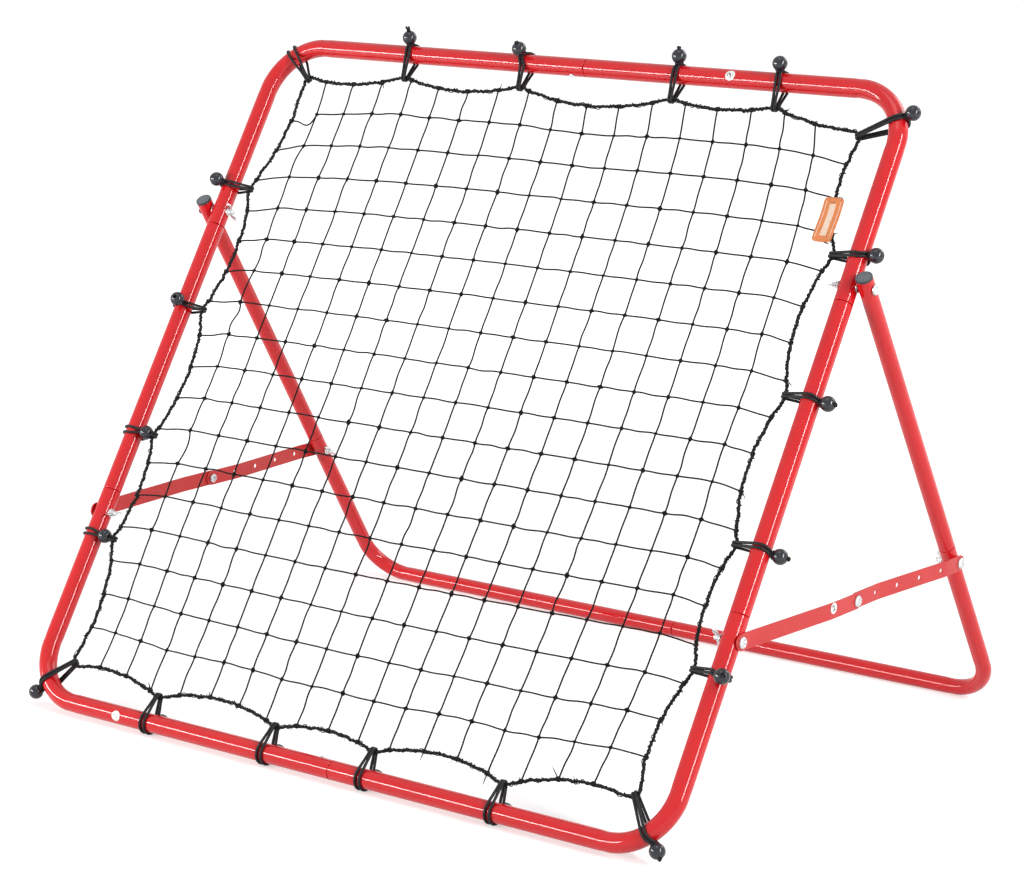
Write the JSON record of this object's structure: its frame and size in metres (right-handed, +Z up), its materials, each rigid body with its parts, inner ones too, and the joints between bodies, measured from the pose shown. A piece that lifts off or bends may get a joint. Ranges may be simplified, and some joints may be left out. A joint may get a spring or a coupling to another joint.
{
  "type": "soccer rebounder",
  "caption": "Folding soccer rebounder: a leaning tube frame with a net stretched by ball ties, held open by a hinged rear frame and jointed stays.",
  "frame": {"origin": "middle of the footprint, on the floor, with both frames standing open", "axes": "+X to the player's right along the rails, +Y from the front rail to the rear bar, +Z up"},
  "size_m": [1.0586, 0.762, 0.8393],
  "materials": {
    "front_tube": "glossy red powder coat on steel tube",
    "rear_tube": "glossy red powder coat on steel tube",
    "stay_bar": "glossy red powder coat on flat steel bar",
    "bolt": "bright zinc plate",
    "wing_nut": "bright zinc plate",
    "leg_cap": "grey-green moulded plastic",
    "net": "knotted black twine",
    "border_rope": "braided black cord",
    "net_tag": "plain orange woven tag",
    "ball_tie": "black elastic cord with a glossy ball"
  },
  "bodies": {
    "front_frame": {"ball_tie_bottom_1": "ball_tie", "ball_tie_bottom_2": "ball_tie", "ball_tie_bottom_3": "ball_tie", "ball_tie_bottom_4": "ball_tie", "ball_tie_bottom_left": "ball_tie", "ball_tie_bottom_right": "ball_tie", "ball_tie_left_1": "ball_tie", "ball_tie_left_2": "ball_tie", "ball_tie_left_3": "ball_tie", "ball_tie_left_4": "ball_tie", "ball_tie_right_1": "ball_tie", "ball_tie_right_2": "ball_tie", "ball_tie_right_3": "ball_tie", "ball_tie_right_4": "ball_tie", "ball_tie_top_1": "ball_tie", "ball_tie_top_2": "ball_tie", "ball_tie_top_3": "ball_tie", "ball_tie_top_4": "ball_tie", "ball_tie_top_left": "ball_tie", "ball_tie_top_right": "ball_tie", "border_rope": "border_rope", "front_tube_bottom_left": "front_tube", "front_tube_bottom_right": "front_tube", "front_tube_side_left": "front_tube", "front_tube_side_right": "front_tube", "front_tube_top_left": "front_tube", "front_tube_top_right": "front_tube", "net": "net", "net_tag": "net_tag", "pivot_bolt_left": "bolt", "pivot_bolt_right": "bolt", "pivot_washer_left": "bolt", "pivot_washer_right": "bolt", "rail_screw_bottom": "bolt", "rail_screw_top": "bolt", "stay_front_bolt_left": "bolt", "stay_front_bolt_right": "bolt"},
    "rear_frame": {"leg_cap_left": "leg_cap", "leg_cap_right": "leg_cap", "rear_corner_left": "rear_tube", "rear_corner_right": "rear_tube", "rear_leg_left": "rear_tube", "rear_leg_right": "rear_tube", "stay_rear_bolt_left": "bolt", "stay_rear_bolt_right": "bolt"},
    "front_stay_left": {"stay_front_bar_left": "stay_bar", "stay_elbow_bolt_left": "bolt"},
    "rear_stay_left": {"stay_rear_bar_left": "stay_bar", "stay_elbow_nut_left": "bolt"},
    "pivot_nut_left": {"pivot_wing_nut_left": "wing_nut"},
    "front_stay_nut_left": {"stay_front_wing_nut_left": "wing_nut"},
    "rear_stay_nut_left": {"stay_rear_wing_nut_left": "wing_nut"},
    "front_stay_right": {"stay_front_bar_right": "stay_bar", "stay_elbow_bolt_right": "bolt"},
    "rear_stay_right": {"stay_rear_bar_right": "stay_bar", "stay_elbow_nut_right": "bolt"},
    "pivot_nut_right": {"pivot_wing_nut_right": "wing_nut"},
    "front_stay_nut_right": {"stay_front_wing_nut_right": "wing_nut"},
    "rear_stay_nut_right": {"stay_rear_wing_nut_right": "wing_nut"}
  },
  "joints": [
    {"name": "rear_frame_swing", "type": "hinge", "parent": "front_frame", "child": "rear_frame", "pos_m": [0, 0.02026, 0.59544], "axis": [1, 0, 0], "range_deg": [-39, 0]},
    {"name": "front_stay_left_fold", "type": "hinge", "parent": "front_frame", "child": "front_stay_left", "pos_m": [-0.5015, -0.22453, 0.22742], "axis": [1, 0, 0], "range_deg": [-85.06, 0]},
    {"name": "rear_stay_left_fold", "type": "hinge", "parent": "rear_frame", "child": "rear_stay_left", "pos_m": [-0.5244, 0.24734, 0.21623], "axis": [1, 0, 0], "range_deg": [0, 85.06]},
    {"name": "front_stay_right_fold", "type": "hinge", "parent": "front_frame", "child": "front_stay_right", "pos_m": [0.5015, -0.22453, 0.22742], "axis": [1, 0, 0], "range_deg": [-85.06, 0]},
    {"name": "rear_stay_right_fold", "type": "hinge", "parent": "rear_frame", "child": "rear_stay_right", "pos_m": [0.5244, 0.24734, 0.21623], "axis": [1, 0, 0], "range_deg": [0, 85.06]},
    {"name": "pivot_nut_left_spin", "type": "hinge", "parent": "front_frame", "child": "pivot_nut_left", "pos_m": [-0.4725, 0.02026, 0.59544], "axis": [1, 0, 0], "continuous": true},
    {"name": "front_stay_nut_left_spin", "type": "hinge", "parent": "front_frame", "child": "front_stay_nut_left", "pos_m": [-0.4725, -0.22453, 0.22742], "axis": [1, 0, 0], "continuous": true},
    {"name": "rear_stay_nut_left_spin", "type": "hinge", "parent": "rear_frame", "child": "rear_stay_nut_left", "pos_m": [-0.4985, 0.24734, 0.21623], "axis": [1, 0, 0], "continuous": true},
    {"name": "pivot_nut_right_spin", "type": "hinge", "parent": "front_frame", "child": "pivot_nut_right", "pos_m": [0.4725, 0.02026, 0.59544], "axis": [1, 0, 0], "continuous": true},
    {"name": "front_stay_nut_right_spin", "type": "hinge", "parent": "front_frame", "child": "front_stay_nut_right", "pos_m": [0.4725, -0.22453, 0.22742], "axis": [1, 0, 0], "continuous": true},
    {"name": "rear_stay_nut_right_spin", "type": "hinge", "parent": "rear_frame", "child": "rear_stay_nut_right", "pos_m": [0.4985, 0.24734, 0.21623], "axis": [1, 0, 0], "continuous": true}
  ],
  "couplings": [
    {"joint": "front_stay_left_fold", "follows": "rear_frame_swing", "ratio": 2.1806},
    {"joint": "rear_stay_left_fold", "follows": "rear_frame_swing", "ratio": -2.1806},
    {"joint": "front_stay_right_fold", "follows": "rear_frame_swing", "ratio": 2.1806},
    {"joint": "rear_stay_right_fold", "follows": "rear_frame_swing", "ratio": -2.1806}
  ]
}
